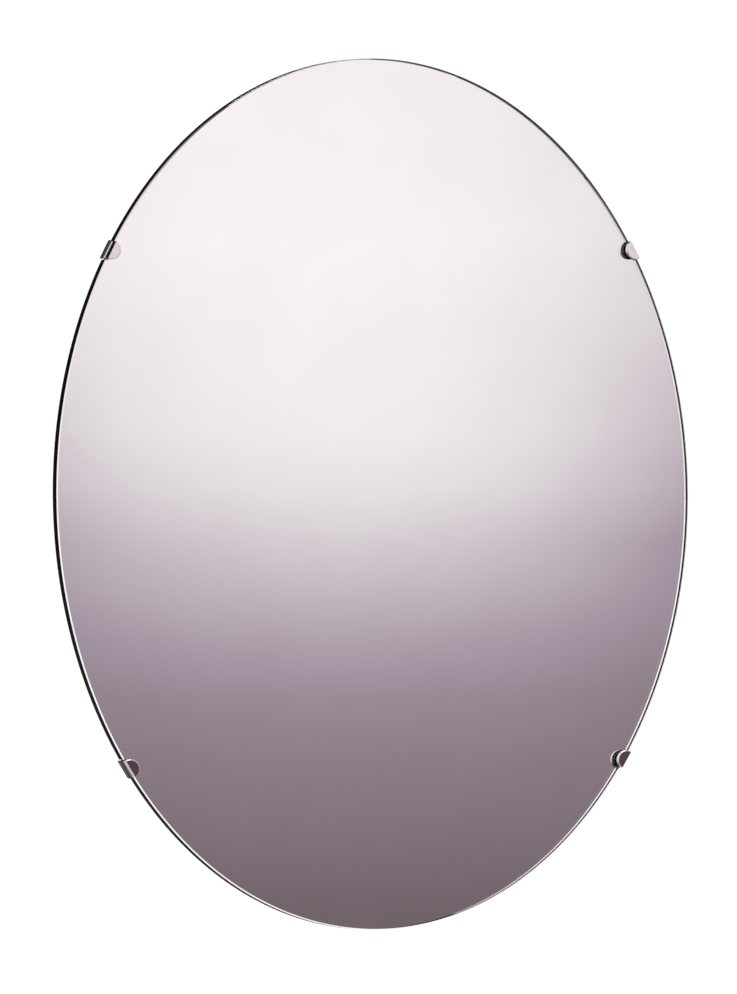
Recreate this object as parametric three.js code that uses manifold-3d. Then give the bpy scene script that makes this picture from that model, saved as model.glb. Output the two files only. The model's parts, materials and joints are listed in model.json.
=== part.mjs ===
// Frameless oval mirror, held on a wall by four half-moon clips.
// The wall is the plane Y = 0, the mirror faces -Y, +Z is up, and the oval is centred on the origin.
// Depths are distances in front of the wall, so a depth d lies at Y = -d. Sizes are in millimetres.

import * as THREE from 'three';
import { mergeVertices } from 'three/addons/utils/BufferGeometryUtils.js';
import Module from 'manifold-3d';

const wasm = await Module();
wasm.setup();

// The oval plate, from the wall outwards: bumpers, backing board, safety film, glass.
const ovalWidth = 610;
const ovalHeight = 762;
const ovalSteps = 60; // straight steps round half of the oval
const roundSteps = 20; // and round small turned pieces
const gap = 0.3; // left between pieces that touch
const wallGap = 1.2;
const boardThickness = 3.5;
const filmThickness = 0.4;
const glassThickness = 5;
const arris = 1;
const bumperRadius = 9;
const bumperPlace = 0.82; // as a share of the half width and half height

// The clips. "Out" is the direction of the glass edge's outward normal, measured from the edge.
const upperClipAngle = 34.1; // ellipse parameter of the upper pair, in degrees above level
const lowerClipAngle = -38.3;
const clipTravel = 8.5; // the upper pair slides out this far
const clipDepth = 15.9; // from the wall to the half-moon face
const moonRadius = 8.4;
const moonRound = 2; // rounding of the half-moon's curved rim
const hookOut = 0.2;
const hookWall = 1.4;
const flangeReach = 0.6;
const flangeThickness = 0.6;
const notchDepth = 2.3; // each clip sits in a shallow notch in the plate's edge
const notchHalfWidth = 8.7;

// The foot of the slide shoe, the step that shows behind the hook.
const footOut = 1.6;
const footThickness = 1.1;
const footDepth = 5.6;
const footHalfWidth = 9;
const footCorner = 1.2;

// The wall plate and its channel.
const plateInner = -41;
const plateOuter = -1.5;
const plateThickness = 1.2;
const plateHalfWidth = 9.1;
const channelInner = -35;
const channelOuter = -9;
const channelDepth = 4.3;
const railThickness = 1.2;
const railLip = 3.2; // how far each rail's lip reaches over the shoe
const lipThickness = 1.1;

// The slide shoe's tongue and its window.
const tongueInner = -35;
const tongueThickness = 1.4;
const tongueHalfWidth = 7.6;
const windowInner = -33;
const windowOuter = -9.5;
const windowHalfWidth = 4.6;

// Fasteners and springs.
const wallScrewOut = -14;
const wallScrewRadius = 2;
const wallScrewLength = 27; // into the wall
const lockScrewOut = -26;
const hookScrewOut = -5;
const springWire = 0.25;
const springRadius = 1.3;
const springTurns = 7;
const springTabOut = -19;
const springTabThickness = 1;

// Depths that follow from the stack.
const boardFront = wallGap + boardThickness;
const filmBack = boardFront + gap;
const filmFront = filmBack + filmThickness;
const glassBack = filmFront + gap;
const glassFront = glassBack + glassThickness;
const linerThickness = 1;
const linerFront = glassFront + gap + linerThickness;
const lipBack = linerFront + gap;
const tongueBack = plateThickness + gap;
const tongueFront = tongueBack + tongueThickness;
const toeBack = tongueFront + gap;
const toeFront = toeBack + 1.4;

// Finishes.
const finishes = {
  glass: { color: 0xdfe8e4, roughness: 0.02, metalness: 0 },
  film: { color: 0xc9c6cc, roughness: 0.05, metalness: 1 },
  board: { color: 0x121114, roughness: 0.6, metalness: 0 },
  chrome: { color: 0xd4d2d6, roughness: 0.06, metalness: 1 },
  grey: { color: 0x5c5960, roughness: 0.45, metalness: 0 },
  zinc: { color: 0xb4b6b8, roughness: 0.4, metalness: 1 },
  rubber: { color: 0x1c1b1d, roughness: 0.8, metalness: 0 },
};

// A closed manifold solid from a three.js geometry.
function solid(geometry) {
  const bare = geometry.clone();
  bare.deleteAttribute('normal');
  bare.deleteAttribute('uv');
  const merged = mergeVertices(bare, 1e-5);
  return new wasm.Manifold(new wasm.Mesh({
    numProp: 3,
    vertProperties: new Float32Array(merged.attributes.position.array),
    triVerts: new Uint32Array(merged.index.array),
  }));
}

// The geometry of a manifold solid.
function shell(body) {
  const mesh = body.getMesh();
  const geometry = new THREE.BufferGeometry();
  geometry.setAttribute('position', new THREE.BufferAttribute(new Float32Array(mesh.vertProperties), 3));
  geometry.setIndex(new THREE.BufferAttribute(new Uint32Array(mesh.triVerts), 1));
  geometry.computeVertexNormals();
  return geometry;
}

// A box between two places along "out", two depths, and to both sides of the clip's middle.
function block(inner, outer, back, front, halfWidth) {
  const box = new THREE.BoxGeometry(outer - inner, front - back, 2 * halfWidth);
  return box.translate((inner + outer) / 2, -(back + front) / 2, 0);
}

// A turned piece about a line through the wall, from [radius, depth] points, back to front.
function turned(points, out, steps) {
  const profile = points.map(([radius, depth]) => new THREE.Vector2(radius, -depth)).reverse();
  return new THREE.LatheGeometry(profile, steps).translate(out, 0, 0);
}

// A round pin or hole between two depths.
function pin(radius, back, front, out, steps = roundSteps) {
  return turned([[0, back], [radius, back], [radius, front], [0, front]], out, steps);
}

// A rectangle with round corners, as an outline.
function roundedOutline(halfWidth, low, high, corner) {
  const outline = new THREE.Shape();
  outline.moveTo(-halfWidth + corner, low);
  outline.lineTo(halfWidth - corner, low);
  outline.absarc(halfWidth - corner, low + corner, corner, -Math.PI / 2, 0);
  outline.absarc(halfWidth - corner, high - corner, corner, 0, Math.PI / 2);
  outline.absarc(-halfWidth + corner, high - corner, corner, Math.PI / 2, Math.PI);
  outline.absarc(-halfWidth + corner, low + corner, corner, Math.PI, 1.5 * Math.PI);
  return outline;
}

// An outline drawn across the clip (width, depth) and extruded along "out".
function barAlongOut(outline, inner, outer) {
  const bar = new THREE.ExtrudeGeometry(outline, { depth: outer - inner, bevelEnabled: false, curveSegments: 5 });
  return bar.rotateY(Math.PI / 2).rotateX(Math.PI).translate(inner, 0, 0);
}

// An outline drawn on the wall (out, width) and extruded between two depths.
function plateOnWall(outline, back, front) {
  const plate = new THREE.ExtrudeGeometry(outline, { depth: front - back, bevelEnabled: false, curveSegments: 6 });
  return plate.rotateX(Math.PI / 2).translate(0, -back, 0);
}

// An oval plate between two depths, smaller than the glass by an inset, with an optional edge chamfer.
function ovalPlate(inset, back, front, chamfer) {
  const outline = new THREE.Shape();
  outline.absellipse(0, 0, ovalWidth / 2 - inset, ovalHeight / 2 - inset, 0, 2 * Math.PI);
  const plate = new THREE.ExtrudeGeometry(outline, {
    depth: front - back - 2 * chamfer,
    bevelEnabled: chamfer > 0,
    bevelThickness: chamfer,
    bevelSize: chamfer,
    bevelOffset: -chamfer,
    bevelSegments: 1,
    curveSegments: ovalSteps,
  });
  return plate.rotateX(Math.PI / 2).translate(0, -back - chamfer, 0);
}

// Where a clip sits: a matrix that puts its own frame on the edge of the oval, X along the outward normal.
function clipPlacement(side, angle) {
  const turn = THREE.MathUtils.degToRad(angle);
  const x = side * (ovalWidth / 2) * Math.cos(turn);
  const z = (ovalHeight / 2) * Math.sin(turn);
  const normal = Math.atan2(z / (ovalHeight / 2) ** 2, x / (ovalWidth / 2) ** 2);
  return new THREE.Matrix4().makeRotationY(-normal).setPosition(x, 0, z);
}

const clips = [
  { name: 'upper_left', placement: clipPlacement(-1, upperClipAngle), slides: true },
  { name: 'upper_right', placement: clipPlacement(1, upperClipAngle), slides: true },
  { name: 'lower_left', placement: clipPlacement(-1, lowerClipAngle), slides: false },
  { name: 'lower_right', placement: clipPlacement(1, lowerClipAngle), slides: false },
];

// An oval plate with a pocket cut in its edge at every clip.
function pocketedPlate(plate, pocketInner, pocketHalfWidth) {
  let body = solid(plate);
  for (const clip of clips) {
    const pocket = block(pocketInner, 10, -1, glassFront + 1, pocketHalfWidth).applyMatrix4(clip.placement);
    body = body.subtract(solid(pocket));
  }
  return shell(body);
}

// Glass: the plate itself, with a polished arris front and back.
function glassPlate() {
  return pocketedPlate(ovalPlate(0, glassBack, glassFront, arris), -notchDepth, notchHalfWidth);
}

// Safety film on the silvered back of the glass.
function safetyFilm() {
  return pocketedPlate(ovalPlate(0.6, filmBack, filmFront, 0), -notchDepth, notchHalfWidth);
}

// Backing board, cut away round each wall plate so that the clips lie within its thickness.
function backingBoard() {
  return pocketedPlate(ovalPlate(0.3, wallGap, boardFront, 0), plateInner - 1.5, plateHalfWidth + gap);
}

// Wall plate: a pressed base with a lipped channel, an end stop, and a tab for the spring.
function wallPlate(slides) {
  const outline = roundedOutline(plateHalfWidth, -plateOuter, -plateInner, 3);
  let body = solid(plateOnWall(outline, 0, plateThickness).rotateY(-Math.PI / 2));
  for (const side of [-1, 1]) {
    const rail = block(channelInner, channelOuter, 0.4, channelDepth, railThickness / 2);
    const lip = block(channelInner, channelOuter, channelDepth - lipThickness, channelDepth, railLip / 2);
    body = body.add(solid(rail.translate(0, 0, side * (plateHalfWidth - railThickness / 2))));
    body = body.add(solid(lip.translate(0, 0, side * (plateHalfWidth - railLip / 2))));
  }
  body = body.add(solid(block(tongueInner - gap - 1.2, tongueInner - gap, 0.4, channelDepth, 3.5)));
  if (slides) {
    body = body.add(solid(block(springTabOut - springTabThickness, springTabOut, 0.4, channelDepth, 2)));
  } else {
    body = body.subtract(solid(pin(1.8, -1, 3, lockScrewOut)));
  }
  return shell(body.subtract(solid(pin(wallScrewRadius + 0.4, -1, 3, wallScrewOut))));
}

// Slide shoe: a flat tongue with a window, and the upright foot that backs the hook.
function slideShoe() {
  const tongue = block(tongueInner, footOut - 0.4, tongueBack, tongueFront, tongueHalfWidth);
  const window = block(windowInner, windowOuter, 0, 4, windowHalfWidth);
  const foot = barAlongOut(roundedOutline(footHalfWidth, gap, footDepth, footCorner), footOut - footThickness, footOut);
  const body = solid(tongue).subtract(solid(window)).add(solid(foot));
  return shell(body.subtract(solid(pin(1.45, 0, 4, hookScrewOut))));
}

// Hook: a half-moon lip in front of the glass, an upright wall past the edge, a narrow flange that
// seats on the shoe's foot, and a toe behind the glass.
function hook() {
  const rim = [[0, lipBack], [moonRadius, lipBack]];
  const rimSteps = 5;
  for (let i = 0; i <= rimSteps; i += 1) {
    const turn = (i / rimSteps) * (Math.PI / 2);
    rim.push([
      moonRadius - moonRound * (1 - Math.cos(turn)),
      clipDepth - moonRound * (1 - Math.sin(turn)),
    ]);
  }
  rim.push([0, clipDepth]);
  const disc = solid(turned(rim, hookOut, 40));
  const moon = disc.intersect(solid(block(-20, hookOut, 0, 20, 20)));
  const wall = block(hookOut - hookWall, hookOut, toeBack, clipDepth - moonRound, moonRadius);
  const seat = footDepth + gap;
  const flange = block(hookOut - 0.5, hookOut + flangeReach, seat, seat + flangeThickness, moonRadius);
  const toe = block(-8.5, hookOut - 0.5, toeBack, toeFront, 5.4);
  const sink = turned([[0, toeBack - 1], [1.5, toeBack - 1], [1.5, toeBack + 0.1], [3, toeFront + 0.1],
    [0, toeFront + 0.1]], hookScrewOut, roundSteps);
  return shell(moon.add(solid(wall)).add(solid(flange)).add(solid(toe)).subtract(solid(sink)));
}

// Liner: a soft pad under the half-moon lip with a thin web down the edge of the glass.
function liner() {
  const webOuter = hookOut - hookWall - gap;
  const pad = solid(pin(moonRadius - 0.8, glassFront + gap, linerFront, hookOut, 32));
  const padCut = pad.intersect(solid(block(-20, webOuter, 0, 20, 20)));
  const web = block(webOuter - 0.5, webOuter, glassBack, linerFront, moonRadius - 1);
  return shell(padCut.add(solid(web)));
}

// A cross recess in a screw head that faces out of the wall.
function crossRecess(body, out, headFront, reach, width, depth) {
  const slotA = block(out - reach, out + reach, headFront - depth, headFront + 1, width / 2);
  const slotB = block(out - width / 2, out + width / 2, headFront - depth, headFront + 1, reach);
  return body.subtract(solid(slotA)).subtract(solid(slotB));
}

// Wall screw: pan head on the plate, shank with a pointed end in the wall.
function wallScrew() {
  const headBack = plateThickness + gap;
  const headFront = headBack + 2.3;
  const profile = [
    [0, -wallScrewLength], [wallScrewRadius, -wallScrewLength + 5], [wallScrewRadius, headBack],
    [3.8, headBack], [3.8, headFront - 1], [3, headFront - 0.2], [1.8, headFront], [0, headFront],
  ];
  return shell(crossRecess(solid(turned(profile, wallScrewOut, roundSteps)), wallScrewOut, headFront, 1.9, 0.8, 1.3));
}

// Hook screw: small countersunk screw through the toe into the shoe.
function hookScrew() {
  const profile = [
    [0, tongueBack + 0.1], [1.15, tongueBack + 0.1], [1.15, toeBack + 0.2], [2.55, toeFront - 0.1], [0, toeFront - 0.1],
  ];
  return shell(crossRecess(solid(turned(profile, hookScrewOut, roundSteps)), hookScrewOut, toeFront - 0.1, 1.3, 0.5, 0.7));
}

// Lock screw: a broad head that clamps a lower shoe to its plate.
function lockScrew() {
  const headBack = tongueFront + gap;
  const headFront = headBack + 1.3;
  const profile = [
    [0, 0.2], [1.5, 0.2], [1.5, headBack], [5.6, headBack], [5.6, headFront - 0.5], [5, headFront], [0, headFront],
  ];
  return shell(crossRecess(solid(turned(profile, lockScrewOut, roundSteps)), lockScrewOut, headFront, 2.2, 0.9, 0.9));
}

// Compression spring between the plate's tab and the end of the shoe's window.
class SpringCurve extends THREE.Curve {
  getPoint(t) {
    const start = windowInner + gap + springWire;
    const end = springTabOut - springTabThickness - gap - springWire;
    const turn = 2 * Math.PI * springTurns * t;
    return new THREE.Vector3(
      start + (end - start) * t,
      -(plateThickness + gap + springRadius + springWire) + springRadius * Math.cos(turn),
      springRadius * Math.sin(turn),
    );
  }
}

function spring() {
  const wire = new THREE.Shape();
  wire.absarc(0, 0, springWire, 0, 2 * Math.PI);
  const steps = springTurns * 9;
  return new THREE.ExtrudeGeometry(wire, { steps, extrudePath: new SpringCurve(), curveSegments: 3 });
}

const mirror = new THREE.Group();

function addPiece(name, geometry, finish, placement) {
  const piece = new THREE.Mesh(geometry, new THREE.MeshStandardMaterial(finishes[finish]));
  piece.name = name;
  if (placement) {
    piece.applyMatrix4(placement);
  }
  mirror.add(piece);
}

addPiece('mirror_glass', glassPlate(), 'glass');
addPiece('safety_film', safetyFilm(), 'film');
addPiece('backing_board', backingBoard(), 'board');

const bumperPlaces = { top: [0, 1], bottom: [0, -1], left: [-1, 0], right: [1, 0] };
for (const [name, [x, z]] of Object.entries(bumperPlaces)) {
  const bumper = pin(bumperRadius, 0, wallGap - gap, 0, 28);
  bumper.translate(x * bumperPlace * ovalWidth / 2, 0, z * bumperPlace * ovalHeight / 2);
  addPiece(`bumper_${name}`, bumper, 'rubber');
}

for (const clip of clips) {
  addPiece(`${clip.name}_wall_plate`, wallPlate(clip.slides), 'zinc', clip.placement);
  addPiece(`${clip.name}_wall_screw`, wallScrew(), 'zinc', clip.placement);
  addPiece(`${clip.name}_slide_shoe`, slideShoe(), 'grey', clip.placement);
  addPiece(`${clip.name}_hook`, hook(), 'chrome', clip.placement);
  addPiece(`${clip.name}_hook_screw`, hookScrew(), 'zinc', clip.placement);
  addPiece(`${clip.name}_liner`, liner(), 'rubber', clip.placement);
  if (clip.slides) {
    addPiece(`${clip.name}_spring`, spring(), 'zinc', clip.placement);
  } else {
    addPiece(`${clip.name}_lock_screw`, lockScrew(), 'zinc', clip.placement);
  }
}

export default mirror;
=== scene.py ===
# A frameless oval mirror on four half-moon wall clips.
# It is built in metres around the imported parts: the wall is y = 0, the mirror faces -y, and z is up.
import json
import math

import bpy
from mathutils import Matrix, Quaternion, Vector


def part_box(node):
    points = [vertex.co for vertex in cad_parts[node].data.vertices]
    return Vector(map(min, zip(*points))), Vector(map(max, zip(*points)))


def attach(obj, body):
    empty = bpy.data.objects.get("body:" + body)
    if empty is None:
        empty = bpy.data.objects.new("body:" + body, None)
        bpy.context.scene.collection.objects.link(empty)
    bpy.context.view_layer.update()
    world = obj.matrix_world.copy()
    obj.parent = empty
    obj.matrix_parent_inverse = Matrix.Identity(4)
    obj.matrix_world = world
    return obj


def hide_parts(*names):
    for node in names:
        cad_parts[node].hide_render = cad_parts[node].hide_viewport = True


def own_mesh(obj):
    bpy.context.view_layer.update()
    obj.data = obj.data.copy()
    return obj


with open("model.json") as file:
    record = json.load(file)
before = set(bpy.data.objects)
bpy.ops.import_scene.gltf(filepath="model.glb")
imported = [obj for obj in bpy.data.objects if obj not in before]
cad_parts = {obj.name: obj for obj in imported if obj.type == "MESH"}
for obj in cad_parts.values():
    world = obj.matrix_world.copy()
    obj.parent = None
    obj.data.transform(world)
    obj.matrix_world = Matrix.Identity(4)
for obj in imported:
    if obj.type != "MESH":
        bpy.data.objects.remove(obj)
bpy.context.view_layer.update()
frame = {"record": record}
mm = 0.001

bpy.ops.object.select_all(action="DESELECT")


# ---------- helpers ----------

def linearColour(hexText):
    # sRGB hex to linear RGBA
    def channel(pair):
        value = int(pair, 16) / 255
        return value / 12.92 if value <= 0.04045 else ((value + 0.055) / 1.055) ** 2.4
    text = hexText.lstrip("#")
    return tuple(channel(text[i:i + 2]) for i in (0, 2, 4)) + (1.0,)


def addNode(tree, kind, settings=None, links=None):
    # one node, with its properties or socket values, and the sockets that feed it
    node = tree.nodes.new(kind)
    for key, value in (settings or {}).items():
        if isinstance(key, int) or key in node.inputs:
            node.inputs[key].default_value = value
        else:
            setattr(node, key, value)
    for key, socket in (links or {}).items():
        tree.links.new(socket, node.inputs[key])
    return node


def startMaterial(name, **values):
    # a material with its Principled shader set from plain values
    material = bpy.data.materials.new(name)
    material.use_nodes = True
    tree = material.node_tree
    shader = tree.nodes["Principled BSDF"]
    for key, value in values.items():
        shader.inputs[key.replace("_", " ")].default_value = value
    return material, tree, shader


def objectPlace(tree, scale=(1, 1, 1), turn=(0, 0, 0)):
    # object coordinates through a Mapping node
    coords = addNode(tree, "ShaderNodeTexCoord")
    place = addNode(tree, "ShaderNodeMapping", {"Scale": scale, "Rotation": turn},
                    {"Vector": coords.outputs["Object"]})
    return place.outputs["Vector"]


def speckle(tree, place, grain, low, high, detail=3.0, contrast=(0.35, 0.65)):
    # a noise of a given grain in metres, spread between two values
    noise = addNode(tree, "ShaderNodeTexNoise", {"Scale": 1 / grain, "Detail": detail}, {"Vector": place})
    spread = addNode(tree, "ShaderNodeMapRange",
                     {"From Min": contrast[0], "From Max": contrast[1], "To Min": low, "To Max": high},
                     {"Value": noise.outputs["Fac"]})
    return spread.outputs["Result"]


def tintBetween(tree, amount, first, second):
    # two colours mixed by a value
    ramp = addNode(tree, "ShaderNodeValToRGB", {}, {"Fac": amount})
    ramp.color_ramp.elements[0].color = linearColour(first)
    ramp.color_ramp.elements[1].color = linearColour(second)
    return ramp.outputs["Color"]


def bumpFrom(tree, shader, height, distance, strength=1.0):
    bump = addNode(tree, "ShaderNodeBump", {"Strength": strength, "Distance": distance}, {"Height": height})
    tree.links.new(bump.outputs["Normal"], shader.inputs["Normal"])


def makeActive(piece):
    bpy.ops.object.select_all(action="DESELECT")
    piece.select_set(True)
    bpy.context.view_layer.objects.active = piece


def newest(name):
    # the primitive that was just added
    piece = bpy.context.active_object
    piece.name = name
    piece.data.name = name
    return piece


def applyPlace(piece):
    # the place goes into the mesh, so that the object sits at the origin
    makeActive(piece)
    bpy.ops.object.transform_apply(location=True, rotation=True, scale=True)


def pick(piece, mode, test):
    # goes into edit mode with only the faces or edges that pass the test selected
    makeActive(piece)
    bpy.ops.object.mode_set(mode="EDIT")
    bpy.ops.mesh.select_mode(type=mode)
    bpy.ops.mesh.select_all(action="DESELECT")
    bpy.ops.object.mode_set(mode="OBJECT")
    mesh = piece.data
    if mode == "FACE":
        for face in mesh.polygons:
            face.select = test(face.center, face.normal)
    else:
        for edge in mesh.edges:
            a, b = (mesh.vertices[i].co for i in edge.vertices)
            edge.select = test(a, b)
    bpy.ops.object.mode_set(mode="EDIT")


def editAll(piece):
    # goes into edit mode with everything selected
    makeActive(piece)
    bpy.ops.object.mode_set(mode="EDIT")
    bpy.ops.mesh.select_all(action="SELECT")


def leaveEdit():
    bpy.ops.object.mode_set(mode="OBJECT")


def roundEdges(piece, width, segments, test):
    # bevels the edges that pass the test
    pick(piece, "EDGE", test)
    bpy.ops.mesh.bevel(offset=width, segments=segments, affect="EDGES")
    leaveEdit()


def keepInner(piece, out):
    # cuts off everything further out than this, and closes the cut
    editAll(piece)
    bpy.ops.mesh.bisect(plane_co=(out, 0, 0), plane_no=(1, 0, 0), clear_outer=True, use_fill=True)
    leaveEdit()


def applyModifier(piece, kind, **settings):
    makeActive(piece)
    modifier = piece.modifiers.new(kind.lower(), kind)
    for key, value in settings.items():
        setattr(modifier, key, value)
    bpy.ops.object.modifier_apply(modifier=modifier.name)


def carve(piece, tool, operation="DIFFERENCE"):
    # joins or cuts with another closed piece, and tidies the flat faces that it leaves
    applyModifier(piece, "BOOLEAN", object=tool, operation=operation, solver="EXACT")
    bpy.data.objects.remove(tool)
    editAll(piece)
    bpy.ops.mesh.remove_doubles(threshold=0.002 * mm)
    bpy.ops.mesh.dissolve_limited(angle_limit=math.radians(0.5))
    leaveEdit()


def softenEdges(piece, width, segments=3, angle=40):
    applyModifier(piece, "BEVEL", width=width, segments=segments, limit_method="ANGLE",
                  angle_limit=math.radians(angle), use_clamp_overlap=True, harden_normals=False)


def smooth(piece, angle=35):
    # the large flats stay flat beside their rounded edges
    makeActive(piece)
    bpy.ops.object.shade_smooth_by_angle(angle=math.radians(angle))
    applyModifier(piece, "WEIGHTED_NORMAL", keep_sharp=True, weight=50)


def brick(name, low, high):
    # a box between two corners; low and high are (out, depth, along) in the clip's own frame
    size = [abs(high[i] - low[i]) for i in range(3)]
    middle = [(high[i] + low[i]) / 2 for i in range(3)]
    bpy.ops.mesh.primitive_cube_add(size=1, location=(middle[0], -middle[1], middle[2]), scale=size)
    piece = newest(name)
    applyPlace(piece)
    return piece


def wireOf(name, corners, closed=False):
    # a chain of edges through the corners
    edges = [(i, i + 1) for i in range(len(corners) - 1)]
    if closed:
        edges.append((len(corners) - 1, 0))
    bpy.ops.mesh.primitive_plane_add(size=1)
    piece = newest(name)
    piece.data.clear_geometry()
    piece.data.from_pydata(corners, edges, [])
    return piece


def turnedPiece(name, profile, out, steps):
    # a closed turned piece about a line through the wall, from its (radius, depth) profile, axis to axis
    corners = [(out + radius, -depth, 0) for radius, depth in profile]
    piece = wireOf(name, corners)
    editAll(piece)
    bpy.ops.mesh.spin(steps=steps, angle=2 * math.pi, center=(out, 0, 0), axis=(0, 1, 0))
    bpy.ops.mesh.select_all(action="SELECT")
    bpy.ops.mesh.remove_doubles(threshold=0.001 * mm)
    bpy.ops.mesh.normals_make_consistent(inside=False)
    leaveEdit()
    return piece


def paint(piece, *materials):
    piece.data.materials.clear()
    for material in materials:
        piece.data.materials.append(material)


# ---------- places from the frame ----------

glassLow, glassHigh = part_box("mirror_glass")
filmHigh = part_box("safety_film")[1]
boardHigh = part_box("backing_board")[1]

stack = {
    "halfWidth": (glassHigh.x - glassLow.x) / 2,
    "halfHeight": (glassHigh.z - glassLow.z) / 2,
    "glassFront": -glassLow.y,
    "glassBack": -glassHigh.y,
    "filmBack": -filmHigh.y,
    "boardBack": -boardHigh.y,
}

clipNames = ("upper_left", "upper_right", "lower_left", "lower_right")
upperClips = clipNames[:2]  # these two slide
lowerClips = clipNames[2:]
screwOut = {"wall": -14 * mm, "hook": -5 * mm, "lock": -26 * mm}  # where each screw stands along the clip
mountPlaces = {mount["name"]: Vector(mount["pos_m"]) for mount in frame["record"]["mounts"]}
bodies = frame["record"]["behaviour"]["bodies"]
bodyOf = {node: body for body, nodes in bodies.items() for node in nodes}


def clipPlacement(name):
    # a clip's own frame: x along the outward normal of the glass edge, y into the wall, z along the edge
    low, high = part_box(name + "_wall_screw")
    screw = Vector(((low.x + high.x) / 2, 0, (low.z + high.z) / 2))
    plate = mountPlaces[name + "_plate_back"]
    outward = (screw - plate).normalized()
    edge = screw - outward * screwOut["wall"]
    along = Vector((-outward.z, 0, outward.x))
    turn = Matrix((outward, (0, 1, 0), along)).transposed().to_4x4()
    return Matrix.Translation(edge) @ turn


clipPlaces = {name: clipPlacement(name) for name in clipNames}


def pieceName(node):
    # upper_left_hook becomes upperLeftHook
    words = node.split("_")
    return words[0] + "".join(word.capitalize() for word in words[1:])


def settle(piece, node):
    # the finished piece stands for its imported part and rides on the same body
    piece.name = pieceName(node)
    piece.data.name = piece.name
    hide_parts(node)
    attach(piece, bodyOf[node])


def fitToClips(pattern, part, names=clipNames):
    # one copy of the pattern at each clip, each with its own mesh
    for name in names:
        twin = pattern.copy()
        twin.data = pattern.data.copy()
        bpy.context.scene.collection.objects.link(twin)
        twin.data.transform(clipPlaces[name])
        settle(twin, name + "_" + part)
    bpy.data.objects.remove(pattern)


# ---------- materials ----------

def clearFloatGlass():
    # float glass with smooth faces: clear and colourless face on, a sharp thin glint along its edges
    return startMaterial("clearFloatGlass", Base_Color=linearColour("#fbfdfc"), Roughness=0.0, IOR=1.52,
                         Transmission_Weight=1.0)[0]


def edgeSealerAndPaintedShade():
    # lacquer brushed round the rim of the glass to seal the silver: deep black with a low uneven sheen; the
    # black is partly the lacquer's own colour and partly painted shade, darker than real lacquer
    material, tree, shader = startMaterial("edgeSealerAndPaintedShade", Roughness=0.5, IOR=1.5, Specular_IOR_Level=0.12)
    place = objectPlace(tree)
    tree.links.new(tintBetween(tree, speckle(tree, place, 6 * mm, 0, 1), "#050506", "#0b0a0c"),
                   shader.inputs["Base Color"])
    tree.links.new(speckle(tree, place, 3 * mm, 0.45, 0.65), shader.inputs["Roughness"])
    brushed = addNode(tree, "ShaderNodeTexNoise", {"Scale": 1 / (0.8 * mm), "Detail": 2.0}, {"Vector": place})
    bumpFrom(tree, shader, brushed.outputs["Fac"], 0.03 * mm, 0.4)
    return material


def silverCoat():
    # chemically deposited silver seen through glass: a full mirror, a touch warm
    material, tree, shader = startMaterial("silverBackCoat", Metallic=1.0, Roughness=0.0)
    patches = speckle(tree, objectPlace(tree), 90 * mm, 0, 1)
    tree.links.new(tintBetween(tree, patches, "#f8f6f6", "#faf9f9"), shader.inputs["Base Color"])
    return material


def protectiveFilm():
    # grey vinyl film over the paint on the mirror's back: satin, with a faint woven press mark
    material, tree, shader = startMaterial("greyBackFilm", Roughness=0.5, IOR=1.5)
    place = objectPlace(tree)
    weave = addNode(tree, "ShaderNodeTexWave", {"Scale": 1 / (2.5 * mm * 2 * math.pi), "Distortion": 0.4},
                    {"Vector": place})
    patches = speckle(tree, place, 30 * mm, 0, 1)
    tree.links.new(tintBetween(tree, patches, "#6d7177", "#777b80"), shader.inputs["Base Color"])
    bumpFrom(tree, shader, weave.outputs["Fac"], 0.05 * mm, 0.3)
    return material


def foamBoardAndPaintedShade():
    # foamed PVC sheet, matt extruded skin: soft black with a fine orange-peel; the black is partly the foam's
    # own colour and partly painted shade, darker than real foam
    material, tree, shader = startMaterial("foamBoardAndPaintedShade", Roughness=0.6, IOR=1.5, Specular_IOR_Level=0.12)
    place = objectPlace(tree)
    patches = speckle(tree, place, 25 * mm, 0, 1)
    tree.links.new(tintBetween(tree, patches, "#0b0a0c", "#110f12"), shader.inputs["Base Color"])
    tree.links.new(speckle(tree, place, 3 * mm, 0.5, 0.7), shader.inputs["Roughness"])
    peel = addNode(tree, "ShaderNodeTexNoise", {"Scale": 1 / (0.9 * mm), "Detail": 2.0}, {"Vector": place})
    bumpFrom(tree, shader, peel.outputs["Fac"], 0.08 * mm, 0.5)
    return material


def polishedChrome():
    # bright chrome plate on die-cast zinc: cool dark-bright mirror contrast, with faint buffing marks
    material, tree, shader = startMaterial("polishedChromePlate", Metallic=1.0, Roughness=0.04)
    patches = speckle(tree, objectPlace(tree), 6 * mm, 0, 1)
    tree.links.new(tintBetween(tree, patches, "#d3cfd2", "#d9d5d8"), shader.inputs["Base Color"])
    buffing = speckle(tree, objectPlace(tree, (1, 1, 7), (0.3, 0, 0.4)), 2.5 * mm, 0.02, 0.05)
    tree.links.new(buffing, shader.inputs["Roughness"])
    return material


def greyNylon():
    # injection-moulded grey nylon: satin, with a fine spark-eroded grain
    material, tree, shader = startMaterial("mouldedGreyNylon", Roughness=0.42, IOR=1.53)
    place = objectPlace(tree)
    tree.links.new(tintBetween(tree, speckle(tree, place, 5 * mm, 0, 1), "#3f393b", "#474144"),
                   shader.inputs["Base Color"])
    grain = addNode(tree, "ShaderNodeTexNoise", {"Scale": 1 / (0.35 * mm), "Detail": 3.0}, {"Vector": place})
    tree.links.new(speckle(tree, place, 1.2 * mm, 0.36, 0.5), shader.inputs["Roughness"])
    bumpFrom(tree, shader, grain.outputs["Fac"], 0.03 * mm, 0.4)
    return material


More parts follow.
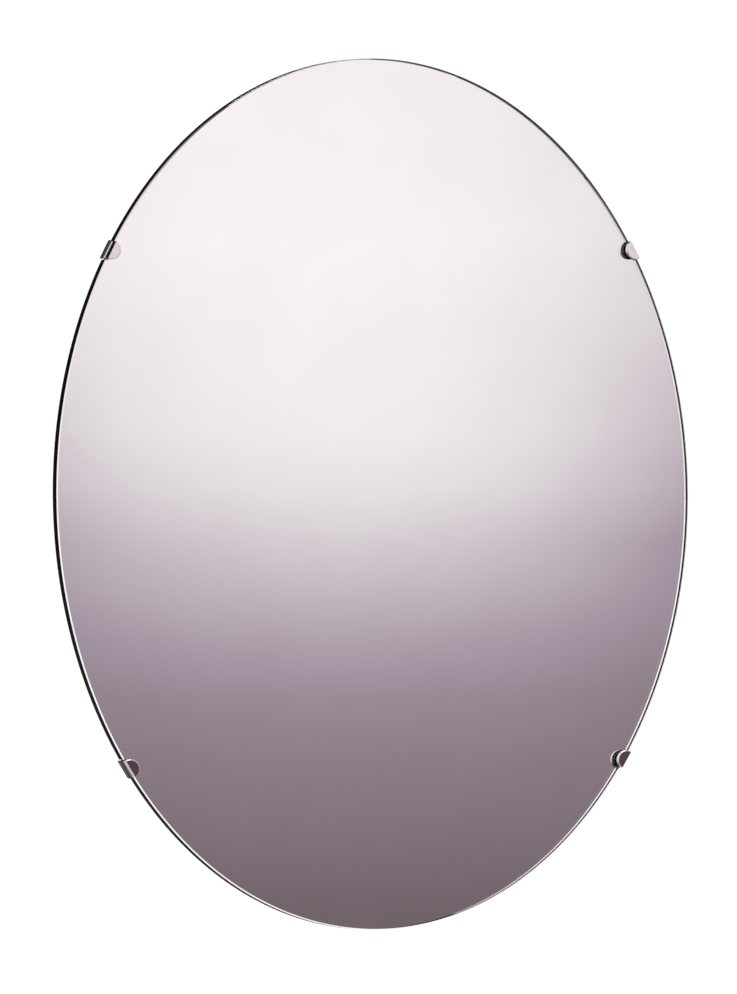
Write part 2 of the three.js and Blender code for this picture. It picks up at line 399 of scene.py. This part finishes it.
def zincPlate(name, dark, light, grain):
    # bright zinc plating on pressed or turned steel: pale bluish metal with cloudy passivation
    material, tree, shader = startMaterial(name, Metallic=1.0, Roughness=0.3)
    place = objectPlace(tree)
    clouds = speckle(tree, place, grain, 0, 1, detail=5.0)
    tree.links.new(tintBetween(tree, clouds, dark, light), shader.inputs["Base Color"])
    tree.links.new(speckle(tree, place, grain * 0.6, 0.22, 0.42), shader.inputs["Roughness"])
    fine = addNode(tree, "ShaderNodeTexNoise", {"Scale": 1 / (0.25 * mm), "Detail": 2.0}, {"Vector": place})
    bumpFrom(tree, shader, fine.outputs["Fac"], 0.01 * mm, 0.3)
    return material


def springWire():
    # cold-drawn spring steel: darker metal with drawing lines along the wire
    material, tree, shader = startMaterial("drawnSpringSteel", Metallic=1.0, Roughness=0.28)
    place = objectPlace(tree)
    tree.links.new(tintBetween(tree, speckle(tree, place, 0.8 * mm, 0, 1), "#7f8084", "#9a9b9e"),
                   shader.inputs["Base Color"])
    tree.links.new(speckle(tree, place, 0.5 * mm, 0.22, 0.38), shader.inputs["Roughness"])
    return material


def blackRubber():
    # moulded soft rubber: dead matt black with a dusty bloom
    material, tree, shader = startMaterial("softBlackRubber", Roughness=0.85, IOR=1.5)
    place = objectPlace(tree)
    tree.links.new(tintBetween(tree, speckle(tree, place, 2 * mm, 0, 1), "#171618", "#201f21"),
                   shader.inputs["Base Color"])
    grain = addNode(tree, "ShaderNodeTexNoise", {"Scale": 1 / (0.3 * mm), "Detail": 3.0}, {"Vector": place})
    bumpFrom(tree, shader, grain.outputs["Fac"], 0.04 * mm, 0.5)
    return material


finishes = {
    "glass": clearFloatGlass(),
    "rim": edgeSealerAndPaintedShade(),
    "silver": silverCoat(),
    "film": protectiveFilm(),
    "board": foamBoardAndPaintedShade(),
    "chrome": polishedChrome(),
    "nylon": greyNylon(),
    "plate": zincPlate("zincPlatedSheet", "#a9adb3", "#c3c6ca", 9 * mm),
    "screw": zincPlate("zincPlatedScrew", "#b3b4b2", "#cbcbc8", 1.5 * mm),
    "spring": springWire(),
    "rubber": blackRubber(),
}
print("materials ready")


# ---------- the oval plate ----------

oval = {
    "steps": 720,  # corners round the rim
    "smoothBelow": 20,  # degrees
    "arris": 1.0 * mm,
    "silverInset": 1.05 * mm,  # the silver stops at the back arris
    "silverGap": 0.02 * mm,
    "boardInset": 0.05 * mm,
    "glueGap": 0.03 * mm,  # the board is stuck to the film
    "boardEdge": 0.2 * mm,
    "notchDepth": 2.3 * mm,
    "notchHalf": 8.7 * mm,
    "notchSpare": 0.3 * mm,  # the silver stays clear of the notch
    "pocketInner": -42.5 * mm,
    "pocketHalf": 9.4 * mm,
    "pocketCorner": 4 * mm,
}


def ovalSlab(name, inset, back, front):
    # a flat oval between two depths
    bpy.ops.mesh.primitive_circle_add(vertices=oval["steps"], radius=1, fill_type="NGON",
                                      location=(0, -back, 0), rotation=(math.pi / 2, 0, 0))
    slab = newest(name)
    applyPlace(slab)
    editAll(slab)
    bpy.ops.transform.resize(value=(stack["halfWidth"] - inset, 1, stack["halfHeight"] - inset),
                             center_override=(0, -back, 0))
    bpy.ops.mesh.extrude_region_move(TRANSFORM_OT_translate={"value": (0, back - front, 0)})
    bpy.ops.mesh.select_all(action="SELECT")
    bpy.ops.mesh.normals_make_consistent(inside=False)
    leaveEdit()
    return slab


def cutPockets(slab, inner, half, corner=0.0):
    # a pocket in the rim at each clip
    for name in clipNames:
        tool = brick("pocket", (inner, -5 * mm, -half), (10 * mm, 30 * mm, half))
        if corner:
            roundEdges(tool, corner, 6, lambda a, b: abs(a.y - b.y) > 1 * mm)
        tool.data.transform(clipPlaces[name])
        carve(slab, tool)


def onRim(corner, depth):
    # does a corner lie on the rim of the glass at this depth?
    reach = math.hypot(corner.x / stack["halfWidth"], corner.z / stack["halfHeight"])
    return abs(corner.y + depth) < 0.01 * mm and reach > 0.999


def mirrorGlass():
    glass = ovalSlab("glass", 0, stack["glassBack"], stack["glassFront"])
    for depth in (stack["glassFront"], stack["glassBack"]):
        pick(glass, "EDGE", lambda a, b: onRim(a, depth) and onRim(b, depth))
        bpy.ops.mesh.bevel(offset=oval["arris"] * math.sqrt(2), offset_type="WIDTH", segments=1,
                           affect="EDGES")
        leaveEdit()
    cutPockets(glass, -oval["notchDepth"], oval["notchHalf"])
    paint(glass, finishes["glass"], finishes["rim"])
    # the side wall and the back arris are sealed, their near-black partly sealer and partly painted shade,
    # and the faces and the front arris are clear
    for face in glass.data.polygons:
        face.material_index = 1 if -0.05 < face.normal.y < 0.9 else 0
    smooth(glass, oval["smoothBelow"])
    settle(glass, "mirror_glass")


def silveredFilm():
    film = ovalSlab("film", oval["silverInset"], stack["filmBack"], stack["glassBack"] - oval["silverGap"])
    cutPockets(film, -oval["notchDepth"] - oval["notchSpare"], oval["notchHalf"] + oval["notchSpare"])
    paint(film, finishes["film"], finishes["silver"], finishes["rim"])
    # vinyl behind, silver in front, sealer round the edge, its near-black partly painted shade
    for face in film.data.polygons:
        if face.normal.y > 0.9:
            face.material_index = 0
        elif face.normal.y < -0.9:
            face.material_index = 1
        else:
            face.material_index = 2
    smooth(film, oval["smoothBelow"])
    settle(film, "safety_film")


def backingBoard():
    board = ovalSlab("board", oval["boardInset"], stack["boardBack"], stack["filmBack"] - oval["glueGap"])
    cutPockets(board, oval["pocketInner"], oval["pocketHalf"], oval["pocketCorner"])
    softenEdges(board, oval["boardEdge"], 2, 50)
    paint(board, finishes["board"])
    smooth(board, 30)
    settle(board, "backing_board")


mirrorGlass()
silveredFilm()
backingBoard()
print("oval plate ready")


# ---------- wall bumpers ----------

bumperSizes = {
    "rim": 1.6 * mm,
    "slope": 0.6 * mm,
    "dish": 0.25,  # of the thickness
    "edge": 0.25 * mm,
}


def makeBumpers():
    s = bumperSizes
    for place in ("top", "bottom", "left", "right"):
        node = "bumper_" + place
        low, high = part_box(node)
        middle = (low + high) / 2
        radius = (high.x - low.x) / 2
        thick = high.y - low.y
        bpy.ops.mesh.primitive_cylinder_add(vertices=96, radius=radius, depth=thick, location=middle,
                                            rotation=(math.pi / 2, 0, 0))
        bumper = newest(node)
        applyPlace(bumper)
        pick(bumper, "FACE", lambda centre, normal: normal.y > 0.9)
        bpy.ops.mesh.inset(thickness=s["rim"])
        bpy.ops.mesh.inset(thickness=s["slope"])
        bpy.ops.transform.translate(value=(0, -s["dish"] * thick, 0))
        leaveEdit()
        softenEdges(bumper, s["edge"], 3, 50)
        paint(bumper, finishes["rubber"])
        smooth(bumper, 40)
        settle(bumper, node)


makeBumpers()


# ---------- clip hook ----------

hookSizes = {
    "out": 0.2 * mm,
    "wall": 1.4 * mm,
    "radius": 8.4 * mm,
    "lipBack": 12.3 * mm,
    "front": 15.9 * mm,
    "rimRound": 0.6 * mm,
    "chamfer": 0.8 * mm,
    "lean": 2.0,  # degrees
    "edge": 0.2 * mm,
    "flangeOut": 0.8 * mm,
    "flangeBack": 5.9 * mm,
    "flangeFront": 6.5 * mm,
    "flangeCorner": 0.4 * mm,
    "toeBack": 3.2 * mm,
    "toeFront": 4.6 * mm,
    "toeInner": -8.5 * mm,
    "toeHalf": 5.4 * mm,
    "toeCorner": 2 * mm,
    "overlap": 0.3 * mm,  # joined pieces run into each other by this
    "sink": [(0, 2 * mm), (1.5 * mm, 2 * mm), (1.5 * mm, 3.3 * mm), (3 * mm, 4.7 * mm), (0, 4.7 * mm)],
}


def makeHooks():
    s = hookSizes
    bpy.ops.mesh.primitive_cylinder_add(vertices=128, radius=s["radius"], depth=s["front"] - s["lipBack"],
                                        location=(s["out"], -(s["front"] + s["lipBack"]) / 2, 0),
                                        rotation=(math.pi / 2, 0, 0))
    moon = newest("hook")
    applyPlace(moon)
    # the face falls away slightly towards the straight side
    pick(moon, "FACE", lambda centre, normal: normal.y < -0.9)
    bpy.ops.transform.rotate(value=-math.radians(s["lean"]), orient_axis="Z",
                             center_override=(s["out"] - s["radius"], -s["front"], 0))
    leaveEdit()
    # the full disc is cut along its middle to leave the half-moon
    keepInner(moon, s["out"])

    def curved(corner):
        onCut = corner.x > s["out"] - 0.001 * mm
        return not onCut or abs(abs(corner.z) - s["radius"]) < 0.01 * mm

    def atFront(corner):
        return -corner.y > s["front"] - 1 * mm

    roundEdges(moon, s["rimRound"], 8, lambda a, b: atFront(a) and atFront(b) and curved(a) and curved(b)
               and (a - b).length < 2 * mm)
    # the straight front edge has a flat chamfer
    roundEdges(moon, s["chamfer"], 1, lambda a, b: atFront(a) and (a - b).length > 5 * mm)
    # the upright wall runs back past the edge of the glass, and the toe turns in behind it
    wall = brick("wall", (s["out"] - s["wall"], s["toeBack"], -s["radius"]),
                 (s["out"], s["lipBack"] + s["overlap"], s["radius"]))
    carve(moon, wall, "UNION")
    # a narrow flange seats on the shoe's foot
    flange = brick("flange", (s["out"] - 0.5 * mm, s["flangeBack"], -s["radius"]),
                   (s["flangeOut"], s["flangeFront"], s["radius"]))
    roundEdges(flange, s["flangeCorner"], 5,
               lambda a, b: abs(a.y - b.y) > 0.4 * mm and a.x > s["flangeOut"] - 0.1 * mm)
    carve(moon, flange, "UNION")
    toe = brick("toe", (s["toeInner"], s["toeBack"], -s["toeHalf"]),
                (s["out"] - s["wall"] / 2, s["toeFront"], s["toeHalf"]))
    roundEdges(toe, s["toeCorner"], 6, lambda a, b: abs(a.y - b.y) > 1 * mm and a.x < s["toeInner"] + 1 * mm)
    carve(moon, toe, "UNION")
    carve(moon, turnedPiece("sink", s["sink"], screwOut["hook"], 32))
    softenEdges(moon, s["edge"], 3, 50)
    paint(moon, finishes["chrome"])
    smooth(moon, 30)
    fitToClips(moon, "hook")


makeHooks()
print("hooks ready")


# ---------- slide shoe ----------

shoeSizes = {
    "tongueInner": -35 * mm,
    "tongueOuter": 1.2 * mm,
    "tongueBack": 1.5 * mm,
    "tongueFront": 2.9 * mm,
    "tongueHalf": 7.6 * mm,
    "tongueCorner": 1.6 * mm,
    "windowInner": -33 * mm,
    "windowOuter": -9.5 * mm,
    "windowHalf": 4.6 * mm,
    "windowCorner": 0.8 * mm,
    "footInner": 0.5 * mm,
    "footOuter": 1.6 * mm,
    "footBack": 0.3 * mm,
    "footFront": 5.6 * mm,
    "footHalf": 9.0 * mm,
    "footCorner": 1.2 * mm,
    "hole": [(0, 0), (1.45 * mm, 0), (1.45 * mm, 5 * mm), (0, 5 * mm)],
    "edge": 0.18 * mm,
}


def makeShoes():
    s = shoeSizes
    shoe = brick("shoe", (s["tongueInner"], s["tongueBack"], -s["tongueHalf"]),
                 (s["tongueOuter"], s["tongueFront"], s["tongueHalf"]))
    roundEdges(shoe, s["tongueCorner"], 6,
               lambda a, b: abs(a.y - b.y) > 1 * mm and a.x < s["tongueInner"] + 1 * mm)
    window = brick("window", (s["windowInner"], 0, -s["windowHalf"]),
                   (s["windowOuter"], 5 * mm, s["windowHalf"]))
    roundEdges(window, s["windowCorner"], 5, lambda a, b: abs(a.y - b.y) > 1 * mm)
    carve(shoe, window)
    # the foot stands across the end of the tongue, its four long corners rounded
    foot = brick("foot", (s["footInner"], s["footBack"], -s["footHalf"]),
                 (s["footOuter"], s["footFront"], s["footHalf"]))
    roundEdges(foot, s["footCorner"], 7, lambda a, b: abs(a.x - b.x) > 0.5 * mm)
    carve(shoe, foot, "UNION")
    carve(shoe, turnedPiece("hole", s["hole"], screwOut["hook"], 40))
    softenEdges(shoe, s["edge"], 3, 50)
    paint(shoe, finishes["nylon"])
    smooth(shoe, 35)
    fitToClips(shoe, "slide_shoe")


makeShoes()


# ---------- liner ----------

linerSizes = {
    "discOut": 0.2 * mm,
    "radius": 7.6 * mm,
    "padBack": 11.0 * mm,
    "padFront": 12.0 * mm,
    "webInner": -2.0 * mm,
    "webOuter": -1.5 * mm,
    "webBack": 5.7 * mm,
    "webHalf": 7.4 * mm,
    "edge": 0.14 * mm,
}


def makeLiners():
    s = linerSizes
    bpy.ops.mesh.primitive_cylinder_add(vertices=96, radius=s["radius"], depth=s["padFront"] - s["padBack"],
                                        location=(s["discOut"], -(s["padFront"] + s["padBack"]) / 2, 0),
                                        rotation=(math.pi / 2, 0, 0))
    pad = newest("liner")
    applyPlace(pad)
    keepInner(pad, s["webOuter"])
    web = brick("web", (s["webInner"], s["webBack"], -s["webHalf"]),
                (s["webOuter"], s["padFront"], s["webHalf"]))
    carve(pad, web, "UNION")
    softenEdges(pad, s["edge"], 2, 50)
    paint(pad, finishes["rubber"])
    smooth(pad, 35)
    fitToClips(pad, "liner")


makeLiners()


# ---------- wall plate ----------

plateSizes = {
    "inner": -41 * mm,
    "outer": -1.5 * mm,
    "thick": 1.2 * mm,
    "half": 9.1 * mm,
    "corner": 3 * mm,
    "railInner": -35 * mm,
    "railOuter": -9 * mm,
    "railFront": 4.3 * mm,
    "railThick": 1.2 * mm,
    "lipReach": 3.2 * mm,
    "lipThick": 1.1 * mm,
    "bend": 0.9 * mm,
    "stopInner": -36.5 * mm,
    "stopOuter": -35.3 * mm,
    "stopHalf": 3.5 * mm,
    "tabInner": -20 * mm,
    "tabOuter": -19 * mm,
    "tabHalf": 2 * mm,
    "tabCorner": 0.8 * mm,
    "rooted": 0.4 * mm,  # rails and tabs start at this depth inside the base
    "screwHole": 2.4 * mm,
    "lockHole": 1.8 * mm,
    "edge": 0.15 * mm,
}


def upright(name, inner, outer, half):
    # a tab bent up from the base, its free corners rounded
    s = plateSizes
    tab = brick(name, (inner, s["rooted"], -half), (outer, s["railFront"], half))
    roundEdges(tab, s["tabCorner"], 5,
               lambda a, b: abs(a.x - b.x) > 0.5 * mm and -a.y > s["railFront"] - 0.1 * mm)
    return tab


def makeWallPlate(names, sliding):
    s = plateSizes
    plate = brick("plate", (s["inner"], 0, -s["half"]), (s["outer"], s["thick"], s["half"]))
    roundEdges(plate, s["corner"], 10, lambda a, b: abs(a.y - b.y) > 1 * mm)
    for side in (-1, 1):
        wide = side * s["half"]
        rail = brick("rail", (s["railInner"], s["rooted"], wide - side * s["railThick"]),
                     (s["railOuter"], s["railFront"], wide))
        lip = brick("lip", (s["railInner"], s["railFront"] - s["lipThick"], wide - side * s["lipReach"]),
                    (s["railOuter"], s["railFront"], wide))
        carve(rail, lip, "UNION")
        roundEdges(rail, s["bend"], 6, lambda a, b: abs(a.x - b.x) > 5 * mm and abs(a.z - wide) < 0.1 * mm
                   and min(-a.y, -b.y) > s["railFront"] - 0.1 * mm)
        carve(plate, rail, "UNION")
    carve(plate, upright("stop", s["stopInner"], s["stopOuter"], s["stopHalf"]), "UNION")
    if sliding:
        carve(plate, upright("tab", s["tabInner"], s["tabOuter"], s["tabHalf"]), "UNION")
    holes = [(screwOut["wall"], s["screwHole"])]
    if not sliding:
        holes.append((screwOut["lock"], s["lockHole"]))
    for out, radius in holes:
        profile = [(0, -2 * mm), (radius, -2 * mm), (radius, 3 * mm), (0, 3 * mm)]
        carve(plate, turnedPiece("hole", profile, out, 40))
    softenEdges(plate, s["edge"], 2, 50)
    paint(plate, finishes["plate"])
    smooth(plate, 35)
    fitToClips(plate, "wall_plate", names)


makeWallPlate(upperClips, True)
makeWallPlate(lowerClips, False)
print("plates, shoes and liners ready")


# ---------- screws ----------

# in millimetres: the profile is (radius, depth), and a wood screw's depth is negative inside the wall
screwSizes = {
    "wall": {
        "profile": [(0, -27), (0.35, -26.6), (1.5, -22.5), (1.5, 1.2), (1.9, 1.5), (3.8, 1.5), (3.8, 2.6),
                    (3.66, 2.95), (3.35, 3.3), (2.9, 3.55), (2.3, 3.72), (1.6, 3.8), (0, 3.8)],
        "thread": {"from": -24.6, "to": 0.4, "pitch": 1.6, "root": 1.42, "crest": 1.98},
        "recess": {"front": 3.8, "reach": 1.9, "width": 0.8, "depth": 1.3},
    },
    "hook": {
        "profile": [(0, 1.6), (1.0, 1.6), (1.0, 3.15), (1.15, 3.4), (2.55, 4.42), (2.5, 4.5), (0, 4.5)],
        "thread": {"from": 1.62, "to": 3.1, "pitch": 0.45, "root": 0.98, "crest": 1.14},
        "recess": {"front": 4.5, "reach": 1.3, "width": 0.5, "depth": 0.7},
    },
    "lock": {
        "profile": [(0, 0.2), (1.3, 0.2), (1.3, 3.0), (1.5, 3.2), (5.5, 3.2), (5.6, 3.3), (5.6, 4.0),
                    (5.48, 4.25), (5.2, 4.42), (4.8, 4.5), (0, 4.5)],
        "thread": {"from": 0.25, "to": 2.9, "pitch": 0.6, "root": 1.28, "crest": 1.49},
        "recess": {"front": 4.5, "reach": 2.2, "width": 0.9, "depth": 0.9},
    },
}


def threadOn(screw, out, s):
    # a helical ridge wound round the shank
    turns = int((s["to"] - s["from"]) / s["pitch"]) - 1
    half = s["pitch"] * 0.36
    corners = [(s["root"] * mm, -half * mm, 0), (s["crest"] * mm, -0.06 * half * mm, 0),
               (s["crest"] * mm, 0.06 * half * mm, 0), (s["root"] * mm, half * mm, 0)]
    thread = wireOf("thread", corners, closed=True)
    applyModifier(thread, "SCREW", axis="Y", angle=2 * math.pi, screw_offset=-s["pitch"] * mm,
                  iterations=turns, steps=24, render_steps=24, use_smooth_shade=False)
    editAll(thread)
    bpy.ops.mesh.remove_doubles(threshold=0.001 * mm)
    bpy.ops.mesh.select_all(action="SELECT")
    bpy.ops.mesh.fill_holes(sides=0)
    bpy.ops.mesh.select_all(action="SELECT")
    bpy.ops.mesh.normals_make_consistent(inside=False)
    bpy.ops.transform.translate(value=(out, -(s["from"] + s["pitch"] / 2) * mm, 0))
    leaveEdit()
    bpy.ops.object.select_all(action="DESELECT")
    thread.select_set(True)
    screw.select_set(True)
    bpy.context.view_layer.objects.active = screw
    bpy.ops.object.join()


def cutCross(screw, out, s):
    # a cross recess whose walls taper inwards
    halfWidth = s["width"] / 2
    for along, across in ((s["reach"], halfWidth), (halfWidth, s["reach"])):
        tool = brick("cross", (out - along * mm, (s["front"] - s["depth"]) * mm, -across * mm),
                     (out + along * mm, (s["front"] + 1) * mm, across * mm))
        floor = -(s["front"] - s["depth"]) * mm
        pick(tool, "FACE", lambda centre, normal: normal.y > 0.9)
        bpy.ops.transform.resize(value=(0.62, 1, 0.62), center_override=(out, floor, 0))
        leaveEdit()
        carve(screw, tool)


def makeScrews(kind, names):
    s = screwSizes[kind]
    out = screwOut[kind]
    profile = [(radius * mm, depth * mm) for radius, depth in s["profile"]]
    screw = turnedPiece(kind + "Screw", profile, out, 48)
    cutCross(screw, out, s["recess"])
    softenEdges(screw, 0.06 * mm, 2, 50)
    threadOn(screw, out, s["thread"])
    paint(screw, finishes["screw"])
    smooth(screw, 30)
    fitToClips(screw, kind + "_screw", names)


makeScrews("wall", clipNames)
makeScrews("hook", clipNames)
makeScrews("lock", lowerClips)
print("screws ready")


# ---------- springs ----------

springSizes = {
    "inner": -32.45 * mm,
    "outer": -20.55 * mm,
    "depth": 3.05 * mm,
    "radius": 1.3 * mm,
    "wire": 0.25 * mm,
    "turns": 7,
    "stepsPerTurn": 40,
    "squashedTo": 0.32,
}


def coilLine():
    # the middle of the wire: an open helix between two closed end turns
    s = springSizes
    closedPitch = 2 * s["wire"] * 1.04  # the end turns lie against their neighbours
    openTurns = s["turns"] - 2
    openPitch = (s["outer"] - s["inner"] - 2 * closedPitch) / openTurns
    corners = []
    for i in range(s["turns"] * s["stepsPerTurn"] + 1):
        turn = i / s["stepsPerTurn"]
        closedPart = min(turn, 1) + max(turn - 1 - openTurns, 0)
        openPart = min(max(turn - 1, 0), openTurns)
        angle = 2 * math.pi * turn
        corners.append((s["inner"] + closedPitch * closedPart + openPitch * openPart,
                        -s["depth"] + s["radius"] * math.cos(angle), s["radius"] * math.sin(angle)))
    return corners


def makeSprings():
    s = springSizes
    for name in upperClips:
        makeActive(wireOf("coil", coilLine()))
        bpy.ops.object.convert(target="CURVE")
        coil = bpy.context.active_object
        coil.data.bevel_depth = s["wire"]
        coil.data.bevel_resolution = 4
        coil.data.use_fill_caps = True
        bpy.ops.object.convert(target="MESH")
        coil = bpy.context.active_object
        coil.data.transform(clipPlaces[name])
        paint(coil, finishes["spring"])
        smooth(coil, 40)
        settle(coil, name + "_spring")
        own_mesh(coil)


makeSprings()
print("springs ready")


# ---------- camera, light and surroundings ----------

view = {
    "turn": -25.2,  # degrees round from straight ahead, to the left
    "distance": 11.0,
    "frameHeight": 0.8690,  # metres that the picture's height covers at the mirror
    "roll": 0.5,
    "shiftRight": 0.00795,
    "shiftUp": 0.00282,
}


def makeCamera():
    data = bpy.data.cameras.new("longLens")
    camera = bpy.data.objects.new("longLens", data)
    bpy.context.scene.collection.objects.link(camera)
    turn = math.radians(view["turn"])
    back = Vector((math.sin(turn), -math.cos(turn), 0))
    aim = Vector((0, -stack["glassFront"], 0))
    camera.location = aim + back * view["distance"]
    facing = (-back).to_track_quat("-Z", "Y")
    camera.rotation_mode = "QUATERNION"
    camera.rotation_quaternion = facing @ Quaternion((0, 0, 1), math.radians(-view["roll"]))
    data.sensor_width = 36
    data.lens = data.sensor_width * view["distance"] / view["frameHeight"]
    data.shift_x = -view["shiftRight"]
    data.shift_y = -view["shiftUp"]
    data.clip_end = 100
    bpy.context.scene.camera = camera


studio = {
    "floorDrop": 1.35,  # the mirror hangs with its middle this far above the floor
    "floorReach": 6.0,
    "floorBack": 3.8,  # most of it lies behind the mirror
    "poolTurn": 25.2,  # the middle of the light pool, in degrees to the right of straight ahead
    "poolGain": (1.15, 1.118, 1.14),
    "poolHalfWidth": 0.02603,  # as the sine of an angle
    "poolOffset": -0.0028,
    "poolLean": -0.13,  # its middle moves sideways as it rises
    "poolEdge": 1.35,  # it gets no darker beyond this many squared half widths
    "flankGain": 1.2,
    "backdrop": (1.05, 1.05, 1.05, 1),
    "lampPlace": (0.5, -0.5, 4.5),
    "lampSize": 3.0,
    "lampPower": 130,  # watts
}


def makeFloor():
    bpy.ops.mesh.primitive_circle_add(vertices=96, radius=studio["floorReach"], fill_type="NGON",
                                      location=(0, studio["floorBack"], -studio["floorDrop"]))
    floor = newest("paleFloor")
    applyPlace(floor)
    material, tree, shader = startMaterial("paleFloorPaint", Roughness=0.7)
    tree.links.new(tintBetween(tree, speckle(tree, objectPlace(tree), 0.6, 0, 1), "#efedee", "#f4f2f3"),
                   shader.inputs["Base Color"])
    paint(floor, material)


def addRamp(tree, value, low, high, stops):
    # a colour ramp over a range of values, from (value, colour) stops
    fraction = addNode(tree, "ShaderNodeMapRange", {"From Min": low, "From Max": high}, {"Value": value})
    ramp = addNode(tree, "ShaderNodeValToRGB", {}, {"Fac": fraction.outputs["Result"]})
    elements = ramp.color_ramp.elements
    while len(elements) < len(stops):
        elements.new(0.5)
    for element, (place, colour) in zip(elements, stops):
        element.position = (place - low) / (high - low)
        element.color = linearColour(colour) if isinstance(colour, str) else (colour, colour, colour, 1)
    return ramp.outputs["Color"]


def addMath(tree, operation, first, second=None):
    settings = {"operation": operation}
    links = {}
    for index, value in enumerate((first, second)):
        if isinstance(value, (int, float)):
            settings[index] = value
        elif value is not None:
            links[index] = value
    return addNode(tree, "ShaderNodeMath", settings, links).outputs[0]


def makeWorld():
    # a pale surround: in front, a soft pool of light at eye level that sinks to mauve-grey below and to
    # both sides; behind, dark flags above and light below
    world = bpy.data.worlds.new("paleStudio")
    bpy.context.scene.world = world
    world.use_nodes = True
    tree = world.node_tree
    background = tree.nodes["Background"]
    coords = addNode(tree, "ShaderNodeTexCoord")
    parts = addNode(tree, "ShaderNodeSeparateXYZ", {}, {"Vector": coords.outputs["Generated"]})
    rise = parts.outputs["Z"]
    axis = math.radians(studio["poolTurn"])
    across = {"operation": "DOT_PRODUCT", 1: (math.cos(axis), math.sin(axis), 0)}
    side = addNode(tree, "ShaderNodeVectorMath", across, {0: coords.outputs["Generated"]}).outputs["Value"]
    lean = addMath(tree, "MULTIPLY", addMath(tree, "MAXIMUM", rise, 0.0), studio["poolLean"])
    off = addMath(tree, "SUBTRACT", side, addMath(tree, "ADD", lean, studio["poolOffset"]))
    halfWidths = addMath(tree, "DIVIDE", off, studio["poolHalfWidth"])
    spread = addMath(tree, "MINIMUM", addMath(tree, "POWER", halfWidths, 2.0), studio["poolEdge"])
    fade = addRamp(tree, rise, -0.06, 0.06, [
        (-0.06, 0.12), (-0.021, 0.15), (-0.01, 0.33), (-0.004, 0.43), (0.0045, 0.35), (0.012, 0.245),
        (0.024, 0.149), (0.06, 0.05)])
    shade = addMath(tree, "SUBTRACT", 1.0, addMath(tree, "MULTIPLY", fade, spread))
    glow = addRamp(tree, rise, -0.06, 0.06, [
        (-0.06, "#525252"), (-0.033, "#696969"), (-0.021, "#858585"), (-0.016, "#949494"),
        (-0.0115, "#a9a9a9"), (-0.004, "#cfcfcf"), (0.0005, "#e3e3e3"), (0.005, "#ededed"),
        (0.02, "#f5f5f5"), (0.034, "#f1f1f1"), (0.045, "#ffffff")])
    # the darker the light, the more mauve it is
    hue = addRamp(tree, addMath(tree, "MULTIPLY", glow, shade), 0.0, 1.0, [
        (0.0, "#000000"), (0.086, "#5b4f55"), (0.232, "#8b7e87"), (0.334, "#a194a0"), (0.558, "#c9bfc7"),
        (0.616, "#d1c8d0"), (0.68, "#dad4d7"), (0.74, "#e3dddf"), (0.861, "#f2ecee"), (1.0, "#fff9fb")])
    gain = {"operation": "MULTIPLY", 1: studio["poolGain"]}
    pool = addNode(tree, "ShaderNodeVectorMath", gain, {0: hue})
    # well to either side of the pool the front is white down to just below eye level
    aside = addNode(tree, "ShaderNodeMapRange", {"From Min": 0.3, "From Max": 0.4},
                    {"Value": addMath(tree, "ABSOLUTE", side)})
    flank = addRamp(tree, rise, -0.5, 0.5, [
        (-0.5, "#5f5459"), (-0.35, "#82757b"), (-0.22, "#cfc5ca"), (-0.1, "#ece4e8"), (-0.03, "#f0e9ec"),
        (0.0, "#f6f0f3"), (0.05, "#fff9fc")])
    gain = {"operation": "SCALE", "Scale": studio["flankGain"]}
    brightFlank = addNode(tree, "ShaderNodeVectorMath", gain, {0: flank})
    # the colour sockets of a Mix node are inputs 6 and 7 and output 2
    front = addNode(tree, "ShaderNodeMix", {"data_type": "RGBA"},
                    {0: aside.outputs["Result"], 6: pool.outputs["Vector"], 7: brightFlank.outputs["Vector"]})
    back = addRamp(tree, rise, -0.5, 1.0, [
        (-0.5, "#bcb3b8"), (-0.3, "#bcb3b8"), (-0.1, "#1c1a1c"), (0.6, "#1c1a1c"), (0.9, "#bcb3b8")])
    behind = addNode(tree, "ShaderNodeMapRange", {"From Min": -0.1, "From Max": 0.1},
                     {"Value": parts.outputs["Y"]})
    around = addNode(tree, "ShaderNodeMix", {"data_type": "RGBA"},
                     {0: behind.outputs["Result"], 6: front.outputs[2], 7: back})
    # the backdrop itself is plain white
    path = addNode(tree, "ShaderNodeLightPath")
    seen = addNode(tree, "ShaderNodeMix", {"data_type": "RGBA", 7: studio["backdrop"]},
                   {0: path.outputs["Is Camera Ray"], 6: around.outputs[2]})
    tree.links.new(seen.outputs[2], background.inputs["Color"])


def softLight(name, place, size, power):
    data = bpy.data.lights.new(name, "AREA")
    data.shape = "DISK"
    data.size = size
    data.energy = power
    lamp = bpy.data.objects.new(name, data)
    bpy.context.scene.collection.objects.link(lamp)
    lamp.location = place
    lamp.rotation_mode = "QUATERNION"
    lamp.rotation_quaternion = (-Vector(place)).to_track_quat("-Z", "Y")


makeCamera()
makeFloor()
makeWorld()
softLight("overhead", studio["lampPlace"], studio["lampSize"], studio["lampPower"])
bpy.context.scene.view_settings.view_transform = "Standard"
print("studio ready")
